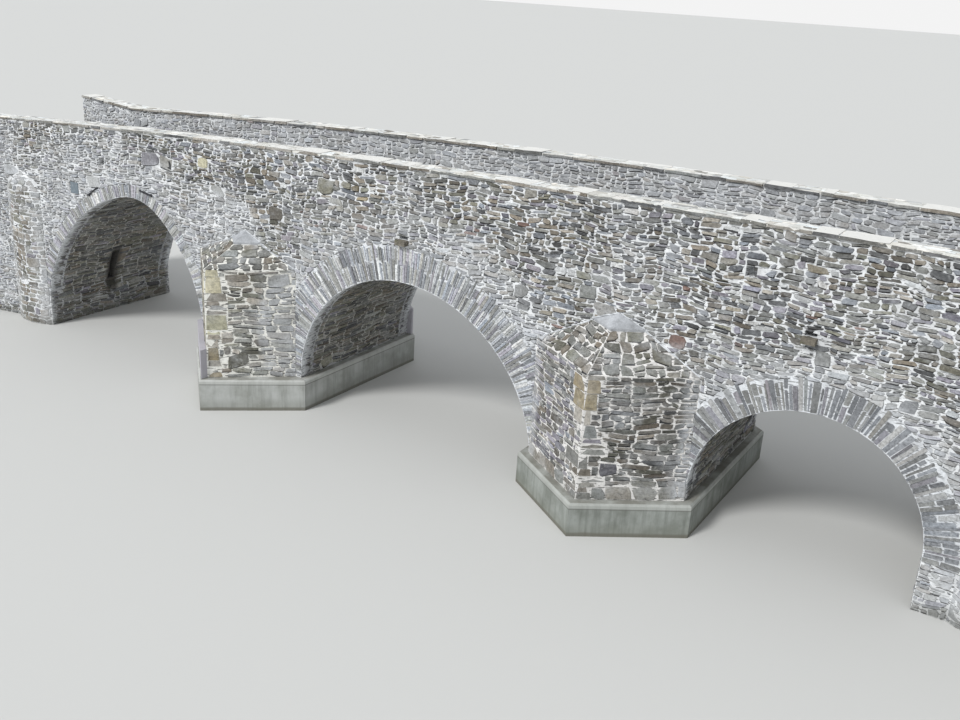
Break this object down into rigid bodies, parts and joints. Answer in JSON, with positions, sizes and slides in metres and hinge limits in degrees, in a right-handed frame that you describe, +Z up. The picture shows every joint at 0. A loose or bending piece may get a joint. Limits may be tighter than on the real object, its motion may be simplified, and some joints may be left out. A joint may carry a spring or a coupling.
{
  "type": "three-arch rubble stone bridge",
  "caption": "Old humped road bridge of slate rubble: arches of thin voussoirs on piers with pointed, roofed cutwaters and pale concrete footings, between flared parapets with coping slabs.",
  "frame": {"origin": "under the middle of the bridge's length and width, at water level, where the footings stand", "axes": "+X along the road to the right as seen from upstream, +Y across the bridge towards the downstream face, +Z up"},
  "size_m": [32.2, 7.7804, 6.4885],
  "materials": {
    "rubble": "rough slate and gneiss rubble in pale mortar",
    "voussoir": "thin split stones on edge in pale mortar",
    "vault_stone": "dark damp rubble of the soffits",
    "coping": "pale split slabs bedded in mortar",
    "cap_stone": "smooth pale dressed stone",
    "concrete": "smooth cast concrete with streaks",
    "road": "worn stone setts",
    "fill": "hidden rubble fill",
    "plate": "blank weathered grey"
  },
  "bodies": {
    "root": {"pier_1_footing": "concrete", "pier_1_shaft": "rubble", "pier_1_upstream_cutwater": "rubble", "pier_1_downstream_cutwater": "rubble", "pier_1_cutwater_roofs": "rubble", "pier_1_cap_stones": "cap_stone", "pier_2_footing": "concrete", "pier_2_shaft": "rubble", "pier_2_upstream_cutwater": "rubble", "pier_2_downstream_cutwater": "rubble", "pier_2_cutwater_roofs": "rubble", "pier_2_cap_stones": "cap_stone", "left_abutment": "rubble", "right_abutment": "rubble", "arch_1_vault": "vault_stone", "arch_2_vault": "vault_stone", "arch_3_vault": "vault_stone", "arch_1_upstream_ring": "voussoir", "arch_1_downstream_ring": "voussoir", "arch_2_upstream_ring": "voussoir", "arch_2_downstream_ring": "voussoir", "arch_2_upstream_outer_ring": "voussoir", "arch_2_downstream_outer_ring": "voussoir", "arch_3_upstream_ring": "voussoir", "arch_3_downstream_ring": "voussoir", "upstream_spandrel_1": "rubble", "upstream_spandrel_2": "rubble", "upstream_spandrel_3": "rubble", "downstream_spandrel_1": "rubble", "downstream_spandrel_2": "rubble", "downstream_spandrel_3": "rubble", "rubble_fill": "fill", "roadway": "road", "upstream_parapet": "rubble", "downstream_parapet": "rubble", "upstream_coping": "coping", "downstream_coping": "coping", "left_wing_walls": "rubble", "right_wing_walls": "rubble", "left_buttresses": "rubble", "right_buttresses": "rubble", "spout_stones": "rubble", "wall_plate": "plate"}
  },
  "joints": []
}
